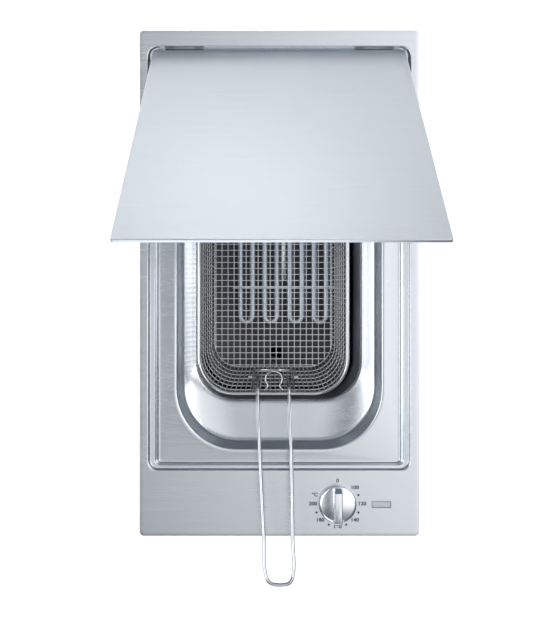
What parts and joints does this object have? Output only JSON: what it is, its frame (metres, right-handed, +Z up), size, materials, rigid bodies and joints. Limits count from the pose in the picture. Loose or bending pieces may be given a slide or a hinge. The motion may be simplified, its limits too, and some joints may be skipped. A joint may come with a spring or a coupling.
{
  "type": "built-in deep fryer",
  "caption": "Built-in worktop deep fryer with hinged lid, lift-out wire basket with folding handle, swing-up heating element, thermostat knob and drain valve.",
  "frame": {"origin": "middle of the worktop cut-out, on the worktop's upper surface", "axes": "+Z up out of the worktop, -Y towards the cook and the control panel, +X to the cook's right"},
  "size_m": [0.288, 0.5615, 0.579],
  "materials": {
    "tray_steel": "finely brushed left to right",
    "lid_steel": "finely brushed left to right",
    "satin_steel": "satin",
    "bright_chrome": "bright plated",
    "basket_wire": "bright drawn wire",
    "zinc_steel": "galvanised, spangled",
    "element_tube": "annealed, blue-grey",
    "knob_metal": "satin chrome",
    "lamp_lens": "clear, frosted behind",
    "black_plastic": "fine matt",
    "black_rubber": "foam, matt",
    "brass": "sand-cast and machined",
    "ceramic": "unglazed",
    "red_plastic": "dipped vinyl"
  },
  "bodies": {
    "root": {"hob_tray": "tray_steel", "worktop_seal": "black_rubber", "oil_container": "satin_steel", "drain_fitting": "satin_steel", "drain_elbow": "brass", "valve_body": "brass", "drain_spout": "brass", "casing_shell": "zinc_steel", "casing_base": "zinc_steel", "control_box": "zinc_steel", "wiring_grommet": "black_rubber", "thermostat_body": "ceramic", "indicator_lens": "lamp_lens", "lamp_housing": "black_plastic", "thermal_cutout": "ceramic", "terminal_cover": "black_plastic", "terminal_block": "ceramic", "cable_gland": "black_plastic", "clamp_claw_1": "zinc_steel", "clamp_claw_2": "zinc_steel", "clamp_claw_3": "zinc_steel", "clamp_claw_4": "zinc_steel", "clamp_screw_1": "zinc_steel", "clamp_screw_2": "zinc_steel", "clamp_screw_3": "zinc_steel", "clamp_screw_4": "zinc_steel", "hinge_bracket_left": "bright_chrome", "hinge_bracket_right": "bright_chrome", "hinge_pin_left": "bright_chrome", "hinge_pin_right": "bright_chrome", "element_bracket_left": "satin_steel", "element_bracket_right": "satin_steel"},
    "lid": {"lid_panel": "lid_steel", "lid_liner": "satin_steel", "hinge_leaf_left": "bright_chrome", "hinge_leaf_right": "bright_chrome"},
    "knob": {"control_knob": "knob_metal", "knob_shaft": "bright_chrome"},
    "basket": {"basket_mesh": "basket_wire", "basket_rim": "bright_chrome", "basket_bracket": "bright_chrome", "catch_loop": "bright_chrome"},
    "handle": {"basket_handle": "bright_chrome"},
    "element": {"heating_tube_left": "element_tube", "heating_tube_right": "element_tube", "element_barrel": "satin_steel", "element_brace_front": "satin_steel", "element_brace_rear": "satin_steel", "thermostat_bulb": "brass", "bulb_capillary": "brass"},
    "valve": {"valve_ball": "bright_chrome", "valve_stem": "zinc_steel", "valve_lever": "red_plastic"},
    "button": {"reset_button": "red_plastic"}
  },
  "joints": [
    {"name": "lid_hinge", "type": "hinge", "parent": "root", "child": "lid", "pos_m": [0, 0.2379, 0.001], "axis": [-1, 0, 0], "range_deg": [-56.5, 25]},
    {"name": "knob_turn", "type": "hinge", "parent": "root", "child": "knob", "pos_m": [0.0598, -0.2265, 0.004], "axis": [0, 0, -1], "range_deg": [0, 270]},
    {"name": "basket_lift", "type": "slide", "parent": "root", "child": "basket", "axis": [0, 0, 1], "range_m": [0, 0.17]},
    {"name": "handle_fold", "type": "hinge", "parent": "basket", "child": "handle", "pos_m": [-0.00615, -0.0975, -0.024], "axis": [-1, 0, 0], "range_deg": [0, 156]},
    {"name": "element_swing", "type": "hinge", "parent": "root", "child": "element", "pos_m": [0.0052, 0.1723, -0.0139], "axis": [-1, 0, 0], "range_deg": [0, 40]},
    {"name": "valve_turn", "type": "hinge", "parent": "root", "child": "valve", "pos_m": [-0.002, -0.2077, -0.1811], "axis": [0, 0, -1], "range_deg": [0, 90]},
    {"name": "reset_press", "type": "slide", "parent": "root", "child": "button", "axis": [0, 0, 1], "range_m": [0, 0.002], "stiffness_N_per_m": 500, "springref_m": -0.002}
  ],
  "couplings": [
    {"joint": "element_swing", "follows": "basket_lift", "rad_per_m": 4.1}
  ]
}
